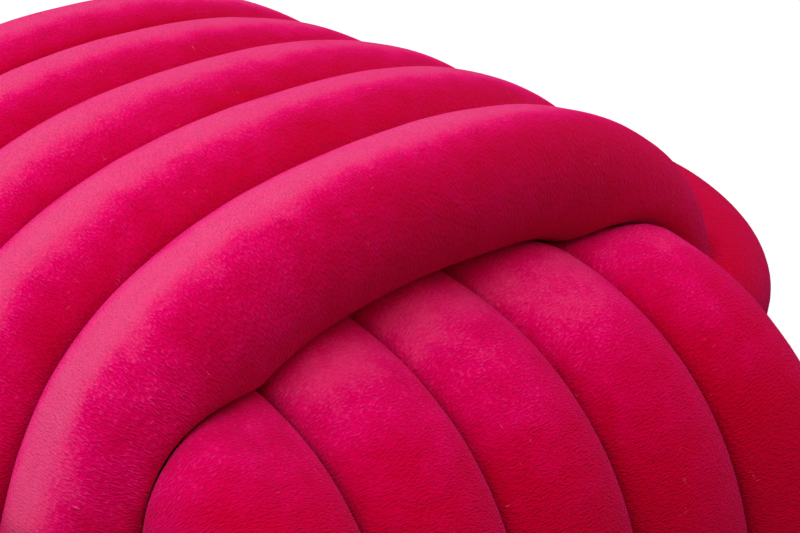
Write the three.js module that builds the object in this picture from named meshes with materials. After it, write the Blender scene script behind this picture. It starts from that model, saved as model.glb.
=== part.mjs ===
// Knot pouf wound from stuffed velvet tube, in millimetres with +Z up.
// Three windings of five turns each: every winding passes over one neighbour and under the other.
// It stands on z = 0, with the middle of its outer box on the Z axis.
import * as THREE from "three";

// Shared sizes
const turns = 5;
const floorPress = 7;      // depth by which the lowest passes are pressed flat on the floor
const crossGap = 2.2;      // air left between two windings that press on each other
const besideGap = 0.5;     // air left between two turns of one winding
const creaseSoftness = 0.6;
const easePasses = 2;
const tuckAngle = 0.05;    // radians left of the last half turn, where the tube ends inside
const tuckFrom = 0.85;     // share of the reach at which an end starts to turn inwards
const tuckShare = 0.45;    // share of the inner reach by which an end sits deeper
const slideReach = 0.42;   // share of the outer reach over which a turn moves on by one place
const pinchFrom = 0.7;     // share of the outer reach at which the turns start to be pinched
const diveSwell = 0.2;     // share by which a pinched turn swells up and down
const besideSwell = 0.15;  // share by which a turn widens towards the turn beside it
const cornerSwell = 0.35;  // share by which an outermost turn widens into the corner of the knot
const cornerAt = 0.72;     // share of the outer reach at which that corner lies
const cornerSpan = 0.4;

// Facets
const sides = 14;
const sectionsPerTurn = 41;
const samplesPerTurn = 1200;
const hiddenFrom = 0.55;   // share of the outer reach inside which a pass is covered
const hiddenShare = 0.55;  // share of the sections that a covered length gets
const markStep = 9;
const facetSpread = [-0.6, -0.3, 0, 0.3, 0.6];

// Velvet
const velvet = { color: 0xc8003f, roughness: 0.85, metalness: 0 };

// One row a winding. The stack axis is the one its turns lie side by side along, the outer axis the one
// along which it lies on the outside, the inner axis the one along which it dives under its neighbour.
// Powers shape the turn: 2 is an ellipse, more is squarer. Gather is the share by which the turns close up
// as they dive, pinch a further share deep under the neighbour, offset a move of the turn along its inner
// axis. One row a pass: rise moves it outwards, shift along the stack, pull inwards at the dive, plump
// scales its girth, and swell scales how far it widens into the corner of the knot.
const windings = [
  {
    node: "winding_over_top",
    axes: { stack: "y", outer: "z", inner: "x" },
    girth: 29, pitch: 56, outerReach: 179.5, innerReach: 162, outerPower: 4.15, innerPower: 2.2,
    gather: 0.113, pinch: 0.12, offset: 2,
    passes: [
      { rise: -1, shift: -12, pull: 12.5, plump: 0.93, swell: 1 },
      { rise: -1, shift: -4.5, pull: 1.6, plump: 1, swell: 1 },
      { rise: 0.5, shift: -4.5, pull: 0, plump: 1, swell: 1 },
      { rise: 0.5, shift: 0, pull: 1.6, plump: 1, swell: 1 },
      { rise: 4.5, shift: -9, pull: 6.5, plump: 1, swell: 1 },
    ],
  },
  {
    node: "winding_front_back",
    axes: { stack: "x", outer: "y", inner: "z" },
    girth: 31.5, pitch: 60.75, outerReach: 204.5, innerReach: 125, outerPower: 4.65, innerPower: 2.75,
    gather: 0.178, pinch: 0.04, offset: 0,
    passes: [
      { rise: -2, shift: -1.5, pull: 6.5, plump: 0.96, swell: 1 },
      { rise: -2.5, shift: -2, pull: 1.6, plump: 1, swell: 1 },
      { rise: -0.5, shift: -4.5, pull: 0, plump: 1, swell: 1 },
      { rise: 0.5, shift: -4, pull: 0, plump: 1, swell: 1 },
      { rise: 3.5, shift: -5, pull: 5, plump: 1.05, swell: 0.34 },
    ],
  },
  {
    node: "winding_round_waist",
    axes: { stack: "z", outer: "x", inner: "y" },
    girth: 28.5, pitch: 47, outerReach: 218.5, innerReach: 151, outerPower: 5, innerPower: 2.75,
    gather: 0.277, pinch: 0, offset: -2,
    passes: [
      { rise: 2, shift: 0, pull: 6.5, plump: 1, swell: 1 },
      { rise: 0.5, shift: 0.5, pull: 1.6, plump: 1, swell: 1 },
      { rise: -0.5, shift: -0.5, pull: 0, plump: 1, swell: 1 },
      { rise: 1, shift: 0, pull: 1.6, plump: 1, swell: 1 },
      { rise: -2, shift: 0, pull: 6.5, plump: 1, swell: 1 },
    ],
  },
];

const top = windings[0];
const centreHeight = top.outerReach + top.girth - floorPress;

function ease(value) {
  const t = Math.min(1, Math.max(0, value));
  return t * t * (3 - 2 * t);
}

function signedPower(value, power) {
  return Math.sign(value) * Math.abs(value) ** power;
}

// A value of the pass table at a place from 0 to 4, between passes too
function passValue(winding, column, place) {
  const low = Math.min(turns - 2, Math.floor(place));
  const share = place - low;
  return winding.passes[low][column] * (1 - share) + winding.passes[low + 1][column] * share;
}

// Centre of the tube at an angle that runs on through all five turns
function pathPoint(winding, angle) {
  const outward = signedPower(Math.sin(angle), 2 / winding.outerPower);
  const dive = signedPower(Math.cos(angle), 2 / winding.innerPower);
  const turned = (angle + Math.PI) / (2 * Math.PI);
  const crossing = Math.round(turned);
  let place = Math.min(turns - 1, Math.floor(turned));
  let tuck = 0;
  if (dive < 0) {
    if (crossing === 0 || crossing === turns) {
      tuck = ease((tuckFrom - Math.abs(outward)) / tuckFrom);
    } else {
      place = crossing - 1 + ease((slideReach - outward) / (2 * slideReach));
    }
  }
  const outerReach = winding.outerReach + passValue(winding, "rise", place);
  const innerReach = winding.innerReach - passValue(winding, "pull", place);
  const deep = ease((pinchFrom - Math.abs(outward)) / pinchFrom);
  const closeUp = 1 - winding.gather * dive * dive - winding.pinch * deep;
  const spread = (place - (turns - 1) / 2) * winding.pitch * closeUp;
  const point = new THREE.Vector3(0, 0, centreHeight);
  point[winding.axes.outer] += outerReach * outward;
  point[winding.axes.inner] += winding.offset + innerReach * dive * (1 - tuckShare * tuck);
  point[winding.axes.stack] += spread + passValue(winding, "shift", place);
  const girth = winding.girth * passValue(winding, "plump", place) * (1 + diveSwell * deep);
  const nearCorner = ease(1 - Math.abs(Math.abs(outward) - cornerAt) / cornerSpan);
  const corner = nearCorner * passValue(winding, "swell", place);
  const weight = Math.abs(outward) < hiddenFrom ? hiddenShare : 1;
  return { point, girth, place, corner, weight };
}

// Samples along a whole winding, with the length run so far and the share of sections used so far
function tracePath(winding) {
  const first = -Math.PI + tuckAngle;
  const last = (2 * turns - 1) * Math.PI - tuckAngle;
  const count = turns * samplesPerTurn;
  const trace = [];
  let run = 0;
  let used = 0;
  for (let i = 0; i <= count; i += 1) {
    const sample = pathPoint(winding, first + ((last - first) * i) / count);
    if (i > 0) {
      const length = sample.point.distanceTo(trace[i - 1].point);
      run += length;
      used += length * sample.weight;
    }
    trace.push({ ...sample, run, used });
  }
  return trace;
}

// Index of the last sample whose column is not past a wanted value
function sampleBefore(trace, column, wanted) {
  let low = 0;
  let high = trace.length - 1;
  while (high - low > 1) {
    const middle = (low + high) >> 1;
    if (trace[middle][column] <= wanted) {
      low = middle;
    } else {
      high = middle;
    }
  }
  return low;
}

// Centre, girth and place at a length along a trace
function stationAt(trace, run) {
  const wanted = Math.min(trace[trace.length - 1].run, Math.max(0, run));
  const low = trace[sampleBefore(trace, "run", wanted)];
  const high = trace[sampleBefore(trace, "run", wanted) + 1];
  const share = (wanted - low.run) / (high.run - low.run);
  const mix = (column) => low[column] * (1 - share) + high[column] * share;
  const point = low.point.clone().lerp(high.point, share);
  return { point, girth: mix("girth"), place: mix("place"), corner: mix("corner"), run: wanted };
}

// Lengths at which the sections lie
function sectionRuns(trace) {
  const count = turns * sectionsPerTurn;
  const runs = [];
  for (let i = 0; i <= count; i += 1) {
    const wanted = (trace[trace.length - 1].used * i) / count;
    const low = sampleBefore(trace, "used", wanted);
    const share = (wanted - trace[low].used) / (trace[low + 1].used - trace[low].used);
    runs.push(trace[low].run * (1 - share) + trace[low + 1].run * share);
  }
  return runs;
}

const reachAlong = 6;

function frameAt(winding, trace, run) {
  const here = stationAt(trace, run);
  const before = stationAt(trace, run - reachAlong);
  const after = stationAt(trace, run + reachAlong);
  const ahead = after.point.sub(before.point).normalize();
  const side = new THREE.Vector3();
  side[winding.axes.stack] = 1;
  side.addScaledVector(ahead, -side.dot(ahead)).normalize();
  return { ...here, ahead, side, up: ahead.clone().cross(side) };
}

function directionAt(station, angle) {
  return station.side.clone().multiplyScalar(Math.cos(angle)).addScaledVector(station.up, Math.sin(angle));
}

// Marks along every winding, which the presses between passes are worked out from
function layMarks(traces) {
  const marks = [];
  traces.forEach((trace, owner) => {
    const length = trace[trace.length - 1].run;
    const count = Math.ceil(length / markStep);
    for (let i = 0; i <= count; i += 1) {
      marks.push({ owner, ...stationAt(trace, (length * i) / count) });
    }
  });
  return marks;
}

// Marks of other passes near enough to press on a section: those beside it in its winding, or across it
function nearMarks(marks, owner, station, across) {
  const ownStretch = 3.4 * station.girth;
  const gap = across ? crossGap : besideGap;
  const near = [];
  for (const mark of marks) {
    const own = mark.owner === owner;
    if (own === across || (own && Math.abs(mark.run - station.run) < ownStretch)) {
      continue;
    }
    const away = mark.point.clone().sub(station.point);
    const distance = away.length();
    const share = station.girth / (station.girth + mark.girth);
    if (share * distance < 1.5 * station.girth) {
      near.push({ away, reach: share * distance * distance - 0.5 * gap * distance });
    }
  }
  return near;
}

// Room at an angle before the tube meets the plane that it shares with a neighbour
function roomAt(near, station, angle) {
  const direction = directionAt(station, angle);
  let room = Infinity;
  for (const { away, reach } of near) {
    const facing = direction.dot(away);
    if (facing > 1e-6) {
      room = Math.min(room, reach / facing);
    }
  }
  return room;
}

function softMin(a, b) {
  const gap = Math.abs(a - b);
  const blend = Math.max(0, 1 - gap / (4 * creaseSoftness));
  return Math.min(a, b) - creaseSoftness * blend * blend;
}

// Radius that the tube would have if nothing pressed on it. Facets are flat, so their corners lie a little
// further out.
function freeRadius(station, angle) {
  const facing = Math.cos(angle);
  const beside = Math.min(1, facing > 0 ? turns - 1 - station.place : station.place);
  const widen = besideSwell * beside * facing * facing;
  const fill = cornerSwell * station.corner * (1 - beside) * Math.abs(facing);
  return (station.girth * (1 + widen + fill)) / Math.sqrt(Math.cos(Math.PI / sides));
}

// Radii of one section. Across a neighbour the room is the least over the facets around a corner, so that
// flat facets stay clear of each other.
function sectionRadii(winding, trace, marks, owner, runs, i) {
  const main = frameAt(winding, trace, runs[i]);
  const beside = nearMarks(marks, owner, main, false);
  const around = facetSpread.map((offset) => {
    const other = runs[Math.min(runs.length - 1, Math.max(0, i + Math.sign(offset)))];
    const station = frameAt(winding, trace, runs[i] + Math.abs(offset) * (other - runs[i]));
    return { station, near: nearMarks(marks, owner, station, true) };
  });
  const radii = [];
  for (let j = 0; j < sides; j += 1) {
    const angle = (2 * Math.PI * j) / sides;
    let room = roomAt(beside, main, angle);
    for (const { station, near } of around) {
      for (const offset of facetSpread) {
        room = Math.min(room, roomAt(near, station, (2 * Math.PI * (j + offset)) / sides));
      }
    }
    const free = freeRadius(main, angle);
    radii.push(room === Infinity ? free : softMin(free, room));
  }
  return radii;
}

// Cloth does not stand up in points, so a radius well above those around it comes down
function easePoints(radii) {
  const last = radii.length - 1;
  return radii.map((ring, i) => ring.map((radius, j) => {
    const round = ring[(j + 1) % sides] + ring[(j + sides - 1) % sides];
    const along = radii[Math.min(last, i + 1)][j] + radii[Math.max(0, i - 1)][j];
    return Math.min(radius, 0.5 * radius + 0.125 * (round + along));
  }));
}

function sectionRing(station, radii) {
  const ring = radii.map((wanted, j) => {
    const direction = directionAt(station, (2 * Math.PI * j) / sides);
    const radius = direction.z < 0 ? Math.min(wanted, station.point.z / -direction.z) : wanted;
    const corner = station.point.clone().addScaledVector(direction, radius);
    corner.z = corner.z < 1e-6 ? 0 : corner.z;
    return corner;
  });
  return { centre: station.point, ahead: station.ahead, girth: station.girth, ring };
}

// Rounded end of the tube, as smaller copies of its last section
const endSteps = [
  { out: 0.35, size: 0.8 },
  { out: 0.5, size: 0.45 },
];

function endRings(section, sign) {
  return endSteps.map(({ out, size }) => {
    const centre = section.centre.clone().addScaledVector(section.ahead, sign * out * section.girth);
    const ring = section.ring.map((corner) => {
      const reach = corner.clone().sub(section.centre).multiplyScalar(size);
      return reach.add(centre);
    });
    return { centre, ring };
  });
}

function skin(sections) {
  const positions = [];
  const index = [];
  for (const { ring } of sections) {
    ring.forEach((corner) => positions.push(corner.x, corner.y, corner.z));
  }
  for (let i = 0; i + 1 < sections.length; i += 1) {
    for (let j = 0; j < sides; j += 1) {
      const next = (j + 1) % sides;
      const a = i * sides + j;
      const b = i * sides + next;
      const c = a + sides;
      const d = b + sides;
      index.push(a, b, d, a, d, c);
    }
  }
  const firstTip = positions.length / 3;
  const lastTip = firstTip + 1;
  const lastRing = (sections.length - 1) * sides;
  const start = sections[0].centre;
  const end = sections[sections.length - 1].centre;
  positions.push(start.x, start.y, start.z, end.x, end.y, end.z);
  for (let j = 0; j < sides; j += 1) {
    const next = (j + 1) % sides;
    index.push(firstTip, next, j, lastTip, lastRing + j, lastRing + next);
  }
  const geometry = new THREE.BufferGeometry();
  geometry.setAttribute("position", new THREE.Float32BufferAttribute(positions, 3));
  geometry.setIndex(index);
  geometry.computeVertexNormals();
  return geometry;
}

function wind(winding, owner, traces, marks) {
  const trace = traces[owner];
  const runs = sectionRuns(trace);
  let radii = runs.map((run, i) => sectionRadii(winding, trace, marks, owner, runs, i));
  for (let pass = 0; pass < easePasses; pass += 1) {
    radii = easePoints(radii);
  }
  const sections = runs.map((run, i) => sectionRing(frameAt(winding, trace, run), radii[i]));
  const startCap = endRings(sections[0], -1).reverse();
  const endCap = endRings(sections[sections.length - 1], 1);
  return skin([...startCap, ...sections, ...endCap]);
}

const traces = windings.map(tracePath);
const marks = layMarks(traces);
const pouf = new THREE.Group();
pouf.name = "knot_pouf";
windings.forEach((winding, owner) => {
  const mesh = new THREE.Mesh(wind(winding, owner, traces, marks), new THREE.MeshStandardMaterial(velvet));
  mesh.name = winding.node;
  pouf.add(mesh);
});

// Middle of the outer box goes to the Z axis
const box = new THREE.Box3().setFromObject(pouf);
pouf.children.forEach((mesh) => {
  mesh.geometry.translate(-(box.min.x + box.max.x) / 2, -(box.min.y + box.max.y) / 2, 0);
});

export default pouf;
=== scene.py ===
import math

import bpy
import numpy as np
from mathutils import Matrix, Vector


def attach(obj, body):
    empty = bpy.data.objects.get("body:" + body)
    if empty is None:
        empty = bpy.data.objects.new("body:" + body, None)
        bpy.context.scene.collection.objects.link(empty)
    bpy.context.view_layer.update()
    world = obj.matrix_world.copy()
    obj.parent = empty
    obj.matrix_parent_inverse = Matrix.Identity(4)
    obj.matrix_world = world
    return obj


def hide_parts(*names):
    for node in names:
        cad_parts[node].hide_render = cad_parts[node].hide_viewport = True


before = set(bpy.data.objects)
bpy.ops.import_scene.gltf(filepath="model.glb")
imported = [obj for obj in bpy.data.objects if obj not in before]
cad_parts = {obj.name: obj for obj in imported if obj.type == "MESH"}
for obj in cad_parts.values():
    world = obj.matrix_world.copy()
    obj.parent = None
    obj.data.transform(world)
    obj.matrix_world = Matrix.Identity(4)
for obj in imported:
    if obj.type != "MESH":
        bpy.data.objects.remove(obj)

scene = bpy.context.scene
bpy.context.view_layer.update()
print("frame loaded:", ", ".join(sorted(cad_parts)))


# shader maths: a Wire is one output socket, and sums on it add Math nodes

class Wire:
    def __init__(self, tree, socket):
        self.tree = tree
        self.socket = socket

    @staticmethod
    def node(tree, kind, settings=None, sockets=None, output=0):
        made = tree.nodes.new(kind)
        for name, value in (settings or {}).items():
            setattr(made, name, value)
        for name, value in (sockets or {}).items():
            socket = made.inputs[name]
            if isinstance(value, Wire):
                tree.links.new(value.socket, socket)
            else:
                socket.default_value = value
        return Wire(tree, made.outputs[output])

    def maths(self, operation, first, second, clamp=False):
        settings = {"operation": operation, "use_clamp": clamp}
        return Wire.node(self.tree, "ShaderNodeMath", settings, {0: first, 1: second})

    def __add__(self, other):
        return self.maths("ADD", self, other)

    def __radd__(self, other):
        return self.maths("ADD", other, self)

    def __sub__(self, other):
        return self.maths("SUBTRACT", self, other)

    def __rsub__(self, other):
        return self.maths("SUBTRACT", other, self)

    def __mul__(self, other):
        return self.maths("MULTIPLY", self, other)

    def __rmul__(self, other):
        return self.maths("MULTIPLY", other, self)

    def __truediv__(self, other):
        return self.maths("DIVIDE", self, other)

    def __rtruediv__(self, other):
        return self.maths("DIVIDE", other, self)

    def clamped(self):
        return self.maths("ADD", self, 0.0, clamp=True)

    def sine(self):
        return self.maths("SINE", self, 0.0)

    def past(self, start, gain):
        return ((self - start) * gain).clamped()


# velvet

velvetLook = {
    # colours from pile that lies shut to pile that stands wide open; partly the nap's own tone, partly
    # painted light and shade: the shut colour is painted shade, the open and wide colours painted
    # light, the palest a painted sheen
    "shutShaded": (0.48, 0.0, 0.020, 1.0),
    "openLit": (0.67, 0.0, 0.120, 1.0),
    "wideLit": (0.73, 0.026, 0.155, 1.0),
    "paintedSheen": (0.66, 0.095, 0.205, 1.0),
    "wideLitFrom": 0.78, "wideLitAt": 1.0, "paintedSheenFrom": 0.95, "paintedSheenAt": 1.38,
    # how open the pile is: its nap, which also carries painted light along and round each tube,
    # painted crease shade where a neighbour presses, and uneven
    "napAndLightShare": 0.92, "napAndLightBase": 0.05, "creaseShadeShare": 0.10,
    "ridgeMottle": 0.25, "grainMottle": 0.25, "ruffleMottle": 0.45, "brushMottle": 0.60,
    "paintedSheenCalm": 0.55,  # share of the unevenness that the painted sheen leaves out
    # painted glints: bright specks on pile that is open enough, mostly where light is painted
    "glints": (0.90, 0.070, 0.220, 1.0), "glintShare": 0.36,
    "glintRidge": 0.6, "glintGrain": 0.4, "glintFrom": 0.54, "glintGain": 7.0,
    "glintLift": 0.55, "glintLiftGain": 2.5,
    # stray fibres, sizes in metres
    "lint": (0.78, 0.20, 0.26, 1.0), "lintShare": 0.6,
    "lintLength": 0.0036, "lintWidth": 0.0004, "lintFrom": 0.80, "lintGain": 20.0,
    "lintApart": 0.011, "lintSparse": 0.62, "lintSparseGain": 12.0,
    "lintRoundShift": 3.7, "lintAlongShift": 9.1,
    # surface
    "roughness": 0.5, "specular": 0.0,
    "sheen": 0.38, "sheenRoughness": 0.5, "sheenTint": (1.0, 0.08, 0.50, 1.0),
    # relief in metres: ridges of the pile, the knit's ribs, grain, tufts and brushed patches
    "ridgeLength": 0.0017, "ridgePitch": 0.00055, "ridgeHeight": 0.00068,
    "ribHeight": 0.00006, "ribSlant": 0.12,
    "wanderSize": 0.0040, "wanderReach": 0.0009,
    "grainSize": 0.0008, "grainHeight": 0.00026, "grainRoughness": 0.6,
    "ruffleSize": 0.009, "ruffleHeight": 0.00055, "ruffleRoughness": 0.55,
    "brushSize": 0.030, "brushHeight": 0.00045, "brushRoughness": 0.5,
}


def velvetMaterial():
    look = velvetLook
    material = bpy.data.materials.new("crimsonVelvet")
    material.use_nodes = True
    tree = material.node_tree
    tree.nodes.clear()
    place = Wire.node(tree, "ShaderNodeTexCoord", output="Object")

    def vector(operation, first, second, slot=1):
        sockets = {0: first, slot: second}
        return Wire.node(tree, "ShaderNodeVectorMath", {"operation": operation}, sockets, "Vector")

    def noise(size, detail=2.0, roughness=0.5, at=place, output="Fac"):
        sockets = {"Vector": at, "Scale": 1.0 / size, "Detail": detail, "Roughness": roughness}
        return Wire.node(tree, "ShaderNodeTexNoise", {"noise_dimensions": "3D"}, sockets, output)

    def mix(share, first, second):
        sockets = {"Factor": share, "A": first, "B": second}
        return Wire.node(tree, "ShaderNodeMix", {"data_type": "RGBA"}, sockets, "Result")

    def attribute(name):
        return Wire.node(tree, "ShaderNodeAttribute", {"attribute_name": name}, output="Fac")

    # the lay of the cloth, metres round and along the tube, wandering a little
    lay = Wire.node(tree, "ShaderNodeUVMap", {"uv_map": "tubeLay"})
    wander = vector("SUBTRACT", noise(look["wanderSize"], 1.0, output="Color"), (0.5, 0.5, 0.5))
    lay = vector("ADD", lay, vector("SCALE", wander, look["wanderReach"], "Scale"))
    around = Wire.node(tree, "ShaderNodeSeparateXYZ", None, {0: lay}, "X")
    along = Wire.node(tree, "ShaderNodeSeparateXYZ", None, {0: lay}, "Y")

    stretch = (1.0 / look["ridgeLength"], 1.0 / look["ridgePitch"], 1.0)
    ridge = noise(1.0, 0.0, at=vector("MULTIPLY", lay, stretch))
    slanted = along + around * look["ribSlant"]
    rib = (slanted * (2 * math.pi / look["ridgePitch"])).sine() * 0.5 + 0.5
    grain = noise(look["grainSize"], roughness=look["grainRoughness"])
    ruffle = noise(look["ruffleSize"], roughness=look["ruffleRoughness"])
    brush = noise(look["brushSize"], roughness=look["brushRoughness"])
    pile = ridge * look["ridgeHeight"] + rib * look["ribHeight"] + grain * look["grainHeight"]
    relief = pile + ruffle * look["ruffleHeight"] + brush * look["brushHeight"]
    bump = Wire.node(tree, "ShaderNodeBump", None,
                     {"Strength": 1.0, "Distance": 1.0, "Height": relief}, "Normal")

    # how far the pile stands open, carrying painted light and shade: the nap and crown bring painted
    # light and sheen, the crease term brings painted crease shade, and the mottle is the cloth's own
    # uneven tone
    mottle = (ridge - 0.5) * look["ridgeMottle"] + (grain - 0.5) * look["grainMottle"]
    mottle = mottle + (ruffle - 0.5) * look["ruffleMottle"] + (brush - 0.5) * look["brushMottle"]
    # painted crease shade: the colour darkens where a neighbour presses close
    creaseShade = (1.0 - attribute("slack")) * look["creaseShadeShare"]
    liftAndLight = attribute("napAndLight") * look["napAndLightShare"] + look["napAndLightBase"] - creaseShade + mottle
    openedAndLit = (liftAndLight / look["wideLitFrom"]).clamped()
    wideLit = liftAndLight.past(look["wideLitFrom"], 1 / (look["wideLitAt"] - look["wideLitFrom"]))
    # painted sheen: the palest colour, on the crown band and the lit ends
    calm = liftAndLight - mottle * look["paintedSheenCalm"]
    paintedSheen = calm.past(look["paintedSheenFrom"], 1 / (look["paintedSheenAt"] - look["paintedSheenFrom"]))
    # the ramp of colours paints light and shade: shaded colour where the pile is shut, lit colours
    # where it is open
    colour = mix(openedAndLit * openedAndLit, look["shutShaded"], look["openLit"])
    colour = mix(wideLit, colour, look["wideLit"])
    colour = mix(paintedSheen, colour, look["paintedSheen"])
    # painted glints on the ridges and grain where the pile is open
    glints = (ridge * look["glintRidge"] + grain * look["glintGrain"]).past(look["glintFrom"], look["glintGain"])
    glints = glints * liftAndLight.past(look["glintLift"], look["glintLiftGain"]) * look["glintShare"]
    colour = mix(glints, colour, look["glints"])

    # stray fibres, a few dashes round the tube and a few along it
    def dashes(sizeAround, sizeAlong, shift):
        scaled = vector("MULTIPLY", lay, (1.0 / sizeAround, 1.0 / sizeAlong, 1.0))
        shifted = vector("ADD", scaled, (shift, shift, shift))
        return noise(1.0, 0.0, at=shifted).past(look["lintFrom"], look["lintGain"])

    sparse = noise(look["lintApart"], 1.0).past(look["lintSparse"], look["lintSparseGain"])
    lintRound = dashes(look["lintLength"], look["lintWidth"], look["lintRoundShift"])
    lintAlong = dashes(look["lintWidth"], look["lintLength"], look["lintAlongShift"])
    lint = (lintRound + lintAlong).clamped() * sparse * look["lintShare"]
    colour = mix(lint, colour, look["lint"])

    shader = Wire.node(tree, "ShaderNodeBsdfPrincipled", None, {
        "Base Color": colour, "Roughness": look["roughness"], "Normal": bump,
        "Specular IOR Level": look["specular"], "Sheen Weight": look["sheen"],
        "Sheen Roughness": look["sheenRoughness"], "Sheen Tint": look["sheenTint"],
    }, "BSDF")
    out = tree.nodes.new("ShaderNodeOutputMaterial")
    tree.links.new(shader.socket, out.inputs["Surface"])
    return material


velvet = velvetMaterial()
print("velvet ready")


# windings: sizes in millimetres as in the part's source, one dictionary each;
# axes are 0, 1, 2 for x, y, z, and lists of five hold a value for each turn;
# between the two shares of a pass listed for the nap, the nap goes from one of its two end values to
# the other; this nap is partly the pile's own nap and partly painted light and shade along each pass

turns = 5
overTop = {
    "node": "winding_over_top", "stack": 1, "outer": 2, "inner": 0,
    "girth": 29, "pitch": 56, "outerReach": 179.5, "innerReach": 162,
    "outerPower": 4.15, "innerPower": 2.2, "gather": 0.113, "pinch": 0.12, "offset": 2,
    "rise": [-1, -1, 0.5, 0.5, 4.5], "shift": [-12, -4.5, -4.5, 0, -9],
    "pull": [12.5, 1.6, 0, 1.6, 6.5], "plump": [0.93, 1, 1, 1, 1], "swell": [1, 1, 1, 1, 1],
    "napAndLightAt": [0.24, 0.86], "napAndLightEnds": [0.05, 0.68], "napAndLightShift": [0.06, 0, 0.04, 0, 0],
    "crownSheen": 1.33, "crownSheenShare": 0.86,
}
frontBack = {
    "node": "winding_front_back", "stack": 0, "outer": 1, "inner": 2,
    "girth": 31.5, "pitch": 60.75, "outerReach": 204.5, "innerReach": 125,
    "outerPower": 4.65, "innerPower": 2.75, "gather": 0.178, "pinch": 0.04, "offset": 0,
    "rise": [-2, -2.5, -0.5, 0.5, 3.5], "shift": [-1.5, -2, -4.5, -4, -5],
    "pull": [6.5, 1.6, 0, 0, 5], "plump": [0.96, 1, 1, 1, 1.05], "swell": [1, 1, 1, 1, 0.34],
    "napAndLightAt": [0.64, 0.86], "napAndLightEnds": [-0.08, 0.92],
    "napAndLightShift": [-0.14, -0.02, 0.06, 0.09, -0.11],
    "crownSheen": 1, "crownSheenShare": 0.10,
}
roundWaist = {
    "node": "winding_round_waist", "stack": 2, "outer": 0, "inner": 1,
    "girth": 28.5, "pitch": 47, "outerReach": 218.5, "innerReach": 151,
    "outerPower": 5, "innerPower": 2.75, "gather": 0.277, "pinch": 0, "offset": -2,
    "rise": [2, 0.5, -0.5, 1, -2], "shift": [0, 0.5, -0.5, 0, 0],
    "pull": [6.5, 1.6, 0, 1.6, 6.5], "plump": [1, 1, 1, 1, 1], "swell": [1, 1, 1, 1, 1],
    "napAndLightAt": [0.14, 0.86], "napAndLightEnds": [1, 0], "napAndLightShift": [0, 0, 0, 0, -0.2],
    "crownSheen": 1, "crownSheenShare": 0.15,
}
windings = [overTop, frontBack, roundWaist]

knot = {
    "floorPress": 7.0,
    "crossGap": 0.6, "besideGap": 0.5, "creaseSoftness": 0.8,
    "tuckAngle": 0.05, "tuckFrom": 0.85, "tuckShare": 0.45,
    "slideReach": 0.42, "pinchFrom": 0.7, "diveSwell": 0.2,
    "besideSwell": 0.15, "cornerSwell": 0.35, "cornerAt": 0.72, "cornerSpan": 0.4,
    "sections": 1300, "sides": 72, "markStep": 7.0, "samplesPerTurn": 4000,
    "aheadStep": 6,        # mm each way along the path, for its direction
    "nearReach": 1.6,      # girths within which another turn can press
    "ownReach": 3.4,       # girths along the same tube that don't press
    "looseSpan": 0.35,     # share of the free radius from pressed to loose
    "hiddenFrom": 0.55, "hiddenShare": 0.5,  # fewer sections where a turn is hidden
    "passFrom": 0.14,      # share of a pass at which its first nap begins
    # painted sheen: a paler band on the crown of each tube, with a nap of its own, as cosines round
    # the tube
    "nearFlank": -0.78, "crownFrom": -0.08, "crownTo": 0.2, "farFlank": 0.9,
    "endSteps": [(0.35, 0.8), (0.5, 0.45)],  # rounded ends: girths out, share of the size
}
tiny, farOff = 1e-6, 1e9
perMetre = 1000
centreHeight = overTop["outerReach"] + overTop["girth"] - knot["floorPress"]


def ease(value):
    t = np.clip(value, 0.0, 1.0)
    return t * t * (3 - 2 * t)


def signedPower(value, power):
    return np.sign(value) * np.abs(value) ** power


def tracePath(winding):
    first = -math.pi + knot["tuckAngle"]
    last = (2 * turns - 1) * math.pi - knot["tuckAngle"]
    angle = np.linspace(first, last, turns * knot["samplesPerTurn"] + 1)
    outward = signedPower(np.sin(angle), 2 / winding["outerPower"])
    dive = signedPower(np.cos(angle), 2 / winding["innerPower"])
    turned = (angle + math.pi) / (2 * math.pi)
    crossing = np.round(turned)
    place = np.minimum(turns - 1, np.floor(turned))
    isEnd = (crossing == 0) | (crossing == turns)
    under = dive < 0
    tuck = ease((knot["tuckFrom"] - abs(outward)) / knot["tuckFrom"])
    tuck = np.where(under & isEnd, tuck, 0)
    slid = crossing - 1 + ease((knot["slideReach"] - outward) / (2 * knot["slideReach"]))
    place = np.where(under & ~isEnd, slid, place)

    def column(name):
        return np.interp(place, np.arange(turns), winding[name])

    deep = ease((knot["pinchFrom"] - abs(outward)) / knot["pinchFrom"])
    closeUp = 1 - winding["gather"] * dive * dive - winding["pinch"] * deep
    spread = (place - (turns - 1) / 2) * winding["pitch"] * closeUp
    inward = (winding["innerReach"] - column("pull")) * dive * (1 - knot["tuckShare"] * tuck)
    point = np.zeros((len(angle), 3))
    point[:, 2] = centreHeight
    point[:, winding["outer"]] += (winding["outerReach"] + column("rise")) * outward
    point[:, winding["inner"]] += winding["offset"] + inward
    point[:, winding["stack"]] += spread + column("shift")
    # the nap goes from one end of a pass to the other, and back where the tube is hidden; it paints
    # light and shade, lighter at one end of each pass and darker at the other
    start, end = winding["napAndLightEnds"]
    between = (start + end) / 2
    napAndLightAt = [0, knot["passFrom"], *winding["napAndLightAt"], 1]
    napAndLight = np.interp(np.mod(angle / math.pi, 1), napAndLightAt, [between, start, start, end, between])
    step = np.linalg.norm(np.diff(point, axis=0), axis=1)
    weight = np.where(abs(outward[1:]) < knot["hiddenFrom"], knot["hiddenShare"], 1.0)
    corner = ease(1 - abs(abs(outward) - knot["cornerAt"]) / knot["cornerSpan"])
    return {
        "point": point, "place": place, "napAndLight": napAndLight + column("napAndLightShift"),
        "girth": winding["girth"] * column("plump") * (1 + knot["diveSwell"] * deep),
        "corner": column("swell") * corner,
        "run": np.concatenate([[0], np.cumsum(step)]),
        "used": np.concatenate([[0], np.cumsum(step * weight)]),
    }


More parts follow.
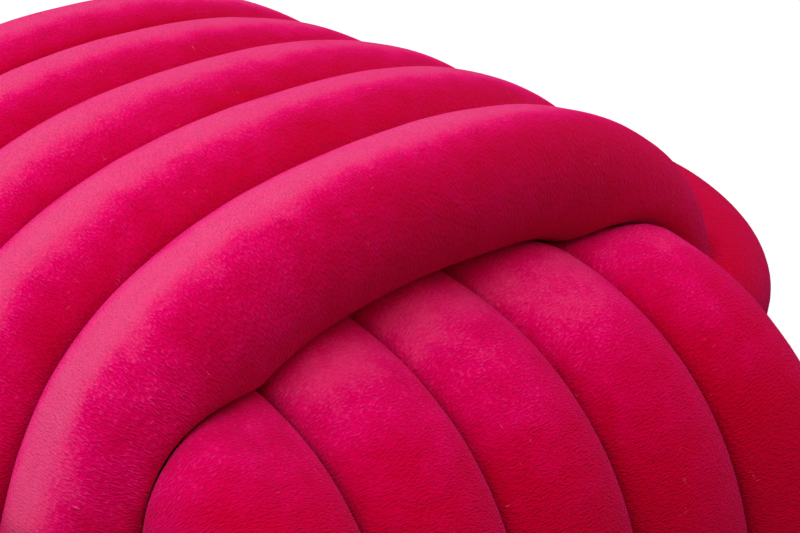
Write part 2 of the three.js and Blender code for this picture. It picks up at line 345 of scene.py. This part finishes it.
def stationsAt(trace, run):
    def at(values):
        return np.interp(run, trace["run"], values)
    station = {name: at(trace[name]) for name in ("girth", "place", "corner", "napAndLight")}
    station["point"] = np.stack([at(trace["point"][:, axis]) for axis in range(3)], 1)
    station["run"] = run
    return station


def layMarks(traces):
    marks = []
    for owner, trace in enumerate(traces):
        length = trace["run"][-1]
        mark = stationsAt(trace, np.linspace(0, length, int(length / knot["markStep"]) + 1))
        mark["owner"] = np.full(len(mark["run"]), owner)
        marks.append(mark)
    names = ("point", "girth", "run", "owner")
    return {name: np.concatenate([mark[name] for mark in marks]) for name in names}


def softMin(free, room):
    blend = np.maximum(0, 1 - abs(free - room) / (4 * knot["creaseSoftness"]))
    return np.minimum(free, room) - knot["creaseSoftness"] * blend * blend


# painted sheen: blends a paler nap into a band round the crown of each tube
def withCrownSheen(winding, napAndLight, facing):
    rising = ease((facing - knot["nearFlank"]) / (knot["crownFrom"] - knot["nearFlank"]))
    falling = ease((knot["farFlank"] - facing) / (knot["farFlank"] - knot["crownTo"]))
    sheenBand = winding["crownSheenShare"] * rising * falling
    return napAndLight[:, None] * (1 - sheenBand) + winding["crownSheen"] * sheenBand


def windTube(winding, owner, trace, marks):
    count, sides = knot["sections"], knot["sides"]
    length = trace["run"][-1]
    run = np.interp(np.linspace(0, trace["used"][-1], count), trace["used"], trace["run"])
    station = stationsAt(trace, run)
    ahead = stationsAt(trace, np.minimum(length, run + knot["aheadStep"]))["point"]
    ahead = ahead - stationsAt(trace, np.maximum(0, run - knot["aheadStep"]))["point"]
    ahead /= np.linalg.norm(ahead, axis=1)[:, None]
    side = np.zeros((count, 3))
    side[:, winding["stack"]] = 1
    side -= (side * ahead).sum(1)[:, None] * ahead
    side /= np.linalg.norm(side, axis=1)[:, None]
    up = np.cross(ahead, side)
    turn = 2 * math.pi * np.arange(sides) / sides
    facing, rising = np.cos(turn), np.sin(turn)
    own = marks["owner"] == owner
    skin = np.zeros((count, sides, 3))
    slack = np.zeros((count, sides))
    for i in range(count):
        centre, girth, place = station["point"][i], station["girth"][i], station["place"][i]
        away = marks["point"] - centre
        distance = np.sqrt((away * away).sum(1))
        share = girth / (girth + marks["girth"])
        sameStretch = own & (abs(marks["run"] - run[i]) < knot["ownReach"] * girth)
        near = (share * distance < knot["nearReach"] * girth) & ~sameStretch
        direction = facing[:, None] * side[i] + rising[:, None] * up[i]
        # free, the tube swells towards its neighbours and fills the corners of the knot
        beside = np.minimum(1, np.where(facing > 0, turns - 1 - place, place))
        widen = knot["besideSwell"] * beside * facing * facing
        fill = knot["cornerSwell"] * station["corner"][i] * (1 - beside) * abs(facing)
        free = girth * (1 + widen + fill)
        radius = free
        loose = np.ones(sides)
        # pressed, it stops about halfway to the turns round it, and at the floor
        if near.any():
            gap = np.where(own[near], knot["besideGap"], knot["crossGap"])
            reach = share[near] * distance[near] ** 2 - 0.5 * gap * distance[near]
            towards = direction @ away[near].T
            room = np.where(towards > tiny, reach / np.maximum(towards, tiny), farOff).min(1)
            radius = softMin(free, room)
            loose = ease((room / free - 1.0) / knot["looseSpan"])
        down = -direction[:, 2]
        floorRoom = np.where(down > tiny, centre[2] / np.maximum(down, tiny), farOff)
        radius = np.minimum(radius, floorRoom)
        slack[i] = np.minimum(loose, ease((floorRoom / free - 1.0) / knot["looseSpan"]))
        skin[i] = centre + radius[:, None] * direction
    skin[..., 2] = np.maximum(skin[..., 2], 0)
    return {"skin": skin, "slack": slack, "run": run, "centre": station["point"],
            "ahead": ahead, "girth": station["girth"],
            "napAndLight": withCrownSheen(winding, station["napAndLight"], facing)}


def closeEnds(tube):
    steps = knot["endSteps"]

    def ring(i, sign, out, size):
        centre = tube["centre"][i] + sign * out * tube["girth"][i] * tube["ahead"][i]
        return centre + size * (tube["skin"][i] - tube["centre"][i])

    start = [ring(0, -1, out, size) for out, size in reversed(steps)]
    end = [ring(-1, 1, out, size) for out, size in steps]
    skin = np.concatenate([start, tube["skin"], end])
    plain = np.zeros((len(steps), knot["sides"]))
    slack = np.concatenate([plain, tube["slack"], plain])
    napAndLight = np.pad(tube["napAndLight"], ((len(steps), len(steps)), (0, 0)), mode="edge")
    pad = np.array([tube["girth"][0] * out for out, size in steps])
    run = tube["run"]
    run = np.concatenate([run[0] - pad[::-1], run, run[-1] + pad])
    return skin, slack, napAndLight, run


def setPointValue(mesh, name, values, tipValues):
    layer = mesh.attributes.new(name, "FLOAT", "POINT")
    layer.data.foreach_set("value", np.concatenate([values.ravel(), tipValues]).astype(np.float32))


def tubeMesh(name, tube, middle):
    skin, slack, napAndLight, run = closeEnds(tube)
    skin = (skin - middle) / perMetre
    count, sides = slack.shape
    index = np.arange(count * sides).reshape(count, sides)
    low, high = index[:-1], index[1:]
    quads = np.stack([low, np.roll(low, -1, 1), np.roll(high, -1, 1), high], 2).reshape(-1, 4)
    points = np.concatenate([skin.reshape(-1, 3), [skin[0].mean(0), skin[-1].mean(0)]])
    firstTip, lastTip = count * sides, count * sides + 1
    faces = quads.tolist()
    for j in range(sides):
        following = (j + 1) % sides
        faces.append([firstTip, following, j])
        faces.append([lastTip, int(index[-1, j]), int(index[-1, following])])
    mesh = bpy.data.meshes.new(name)
    mesh.from_pydata(points.tolist(), [], faces)
    # the lay of the cloth: metres round the tube, metres along it
    girth = 2 * math.pi * float(np.mean(tube["girth"])) / perMetre
    u, v = np.meshgrid(girth * np.arange(sides + 1) / sides, run / perMetre)
    lay = np.stack([u, v], 2)
    corners = [lay[:-1, :-1], lay[:-1, 1:], lay[1:, 1:], lay[1:, :-1]]
    quadLay = np.stack(corners, 2).reshape(-1, 2)
    tipLay = np.zeros((2 * 3 * sides, 2))
    layer = mesh.uv_layers.new(name="tubeLay")
    layer.data.foreach_set("uv", np.concatenate([quadLay, tipLay]).astype(np.float32).ravel())
    setPointValue(mesh, "slack", slack, [0, 0])
    setPointValue(mesh, "napAndLight", napAndLight, napAndLight[[0, -1], 0])
    mesh.polygons.foreach_set("use_smooth", np.ones(len(mesh.polygons), bool))
    mesh.update()
    return mesh


# soft lumps of the stuffing, as a Geometry Nodes tree; none where a tube is pressed

stuffing = {
    "lumpSize": 0.085, "lumpHeight": 0.0008,
    "dentSize": 0.030, "dentHeight": 0.0005, "seed": 11.0,
}
dentShift = 5.0  # so that the dents don't repeat the lumps


def stuffingTree():
    tree = bpy.data.node_groups.new("stuffing", "GeometryNodeTree")
    face = tree.interface
    face.new_socket("Geometry", in_out="INPUT", socket_type="NodeSocketGeometry")
    kinds = {name: "NodeSocketFloat" for name in stuffing}
    kinds["cloth"] = "NodeSocketMaterial"
    inputs = {}
    for name, kind in kinds.items():
        inputs[name] = face.new_socket(name, in_out="INPUT", socket_type=kind).identifier
    face.new_socket("Geometry", in_out="OUTPUT", socket_type="NodeSocketGeometry")
    groupIn = tree.nodes.new("NodeGroupInput")

    def given(name):
        return Wire(tree, groupIn.outputs[name])

    position = Wire.node(tree, "GeometryNodeInputPosition")
    normal = Wire.node(tree, "GeometryNodeInputNormal")
    slack = Wire.node(tree, "GeometryNodeInputNamedAttribute", {"data_type": "FLOAT"},
                      {"Name": "slack"}, "Attribute")

    def swell(size, height, shift):
        sockets = {"Vector": position, "W": given("seed") + shift,
                   "Scale": 1.0 / given(size), "Detail": 1.0}
        wave = Wire.node(tree, "ShaderNodeTexNoise", {"noise_dimensions": "4D"}, sockets)
        return (wave - 0.5) * 2.0 * given(height)

    lumps = swell("lumpSize", "lumpHeight", 0.0)
    dents = swell("dentSize", "dentHeight", dentShift)
    offset = Wire.node(tree, "ShaderNodeVectorMath", {"operation": "SCALE"},
                       {0: normal, "Scale": (lumps + dents) * slack}, "Vector")
    moved = Wire.node(tree, "GeometryNodeSetPosition", None,
                      {"Geometry": given("Geometry"), "Offset": offset})
    whole = Wire.node(tree, "GeometryNodeRealizeInstances", None, {"Geometry": moved})
    dressed = Wire.node(tree, "GeometryNodeSetMaterial", None,
                        {"Geometry": whole, "Material": given("cloth")})
    out = tree.nodes.new("NodeGroupOutput")
    tree.links.new(dressed.socket, out.inputs[0])
    return tree, inputs


def plainMesh(piece, name):
    graph = bpy.context.evaluated_depsgraph_get()
    made = bpy.data.meshes.new_from_object(piece.evaluated_get(graph))
    piece.modifiers.clear()
    old = piece.data
    piece.data = made
    bpy.data.meshes.remove(old)
    made.name = name


traces = [tracePath(winding) for winding in windings]
marks = layMarks(traces)
tubes = [windTube(winding, owner, traces[owner], marks)
         for owner, winding in enumerate(windings)]
everyPoint = np.concatenate([tube["skin"].reshape(-1, 3) for tube in tubes])
middle = (everyPoint.min(0) + everyPoint.max(0)) / 2
middle[2] = 0
print("tubes wound:", [round(float(tube["run"][-1]) / perMetre, 2) for tube in tubes], "m")

lumpTree, lumpInputs = stuffingTree()
velvetPieces = bpy.data.collections.new("velvetPieces")
for winding, tube in zip(windings, tubes):
    name = winding["node"].replace("winding", "velvet_tube")
    piece = bpy.data.objects.new(name, tubeMesh(name, tube, middle))
    scene.collection.objects.link(piece)
    modifier = piece.modifiers.new("stuffing", "NODES")
    modifier.node_group = lumpTree
    for key, identifier in lumpInputs.items():
        modifier[identifier] = velvet if key == "cloth" else stuffing[key]
    plainMesh(piece, name)
    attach(piece, "root")
    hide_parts(winding["node"])
    velvetPieces.objects.link(piece)
    print(name, len(piece.data.polygons), "faces")


# floor, light and camera

studio = {
    "floorColour": (0.93, 0.93, 0.93, 1.0), "floorRoughness": 0.9,
    "glowColour": (1.0, 1.0, 1.0, 1.0), "floorGlow": 0.35, "floorHalf": 6.0,
    "skyColour": (1.0, 1.0, 1.0, 1.0), "skyStrength": 0.03,
    "softness": 50.0,
    "lamps": [
        # name, degrees round from the front, degrees up, strength, colour
        ("overhead", -41.0, 70.0, 1.55, (1.0, 1.0, 1.0)),
        ("rightRim", 92.0, 35.0, 0.42, (1.0, 0.45, 1.1)),
        ("behindRight", 139.0, 50.0, 1.1, (1.0, 0.5, 0.75)),
        ("leftBehind", 225.0, 15.0, 1.55, (1.0, 1.0, 1.0)),
        ("left", 274.0, 30.0, 0.8, (1.0, 1.0, 1.0)),
        ("frontFill", 4.0, 36.0, 1.14, (1.0, 0.25, 0.36)),
    ],
}


def layFloor():
    half = studio["floorHalf"]
    corners = [(-half, -half, 0), (half, -half, 0), (half, half, 0), (-half, half, 0)]
    mesh = bpy.data.meshes.new("floor")
    mesh.from_pydata(corners, [], [(0, 1, 2, 3)])
    floor = bpy.data.objects.new("floor", mesh)
    scene.collection.objects.link(floor)
    material = bpy.data.materials.new("paleFloor")
    material.use_nodes = True
    inputs = material.node_tree.nodes["Principled BSDF"].inputs
    inputs["Base Color"].default_value = studio["floorColour"]
    inputs["Roughness"].default_value = studio["floorRoughness"]
    inputs["Emission Color"].default_value = studio["glowColour"]
    inputs["Emission Strength"].default_value = studio["floorGlow"]
    mesh.materials.append(material)
    # the floor shows, but throws no light back on the velvet
    floor.visible_diffuse = False
    floor.visible_glossy = False


def setLights():
    sky = bpy.data.worlds.new("sky")
    scene.world = sky
    sky.use_nodes = True
    background = sky.node_tree.nodes["Background"]
    background.inputs["Color"].default_value = studio["skyColour"]
    background.inputs["Strength"].default_value = studio["skyStrength"]
    for name, azimuth, elevation, strength, colour in studio["lamps"]:
        lamp = bpy.data.lights.new(name, "SUN")
        lamp.angle = math.radians(studio["softness"])
        lamp.energy = strength
        lamp.color = colour
        holder = bpy.data.objects.new(name, lamp)
        turned, raised = math.radians(azimuth), math.radians(elevation)
        flat = math.cos(raised)
        towards = Vector((math.sin(turned) * flat, -math.cos(turned) * flat, math.sin(raised)))
        holder.rotation_euler = (-towards).to_track_quat("-Z", "Y").to_euler()
        # tinted lamps light the velvet alone, so the floor stays white
        if min(colour) < 1:
            holder.light_linking.receiver_collection = velvetPieces
        scene.collection.objects.link(holder)


# the photo's camera: where it stands and its three axes
view = {
    "place": (-0.4414, -0.6282, 0.6423),
    "right": (0.7379, -0.6729, -0.05199),
    "up": (0.30121, 0.25941, 0.9176),
    "ahead": (0.60397, 0.69276, -0.3941),
    "lens": 86.81, "sensor": 36.0,
}


def setCamera():
    camera = bpy.data.cameras.new("photoView")
    camera.lens = view["lens"]
    camera.sensor_width = view["sensor"]
    holder = bpy.data.objects.new("photoView", camera)
    back = [-value for value in view["ahead"]]
    columns = [view["right"], view["up"], back, view["place"]]
    rows = [[column[row] for column in columns] for row in range(3)]
    holder.matrix_world = Matrix(rows + [[0, 0, 0, 1]])
    scene.collection.objects.link(holder)
    scene.camera = holder


layFloor()
setLights()
setCamera()
scene.view_settings.view_transform = "Standard"
print("studio set")
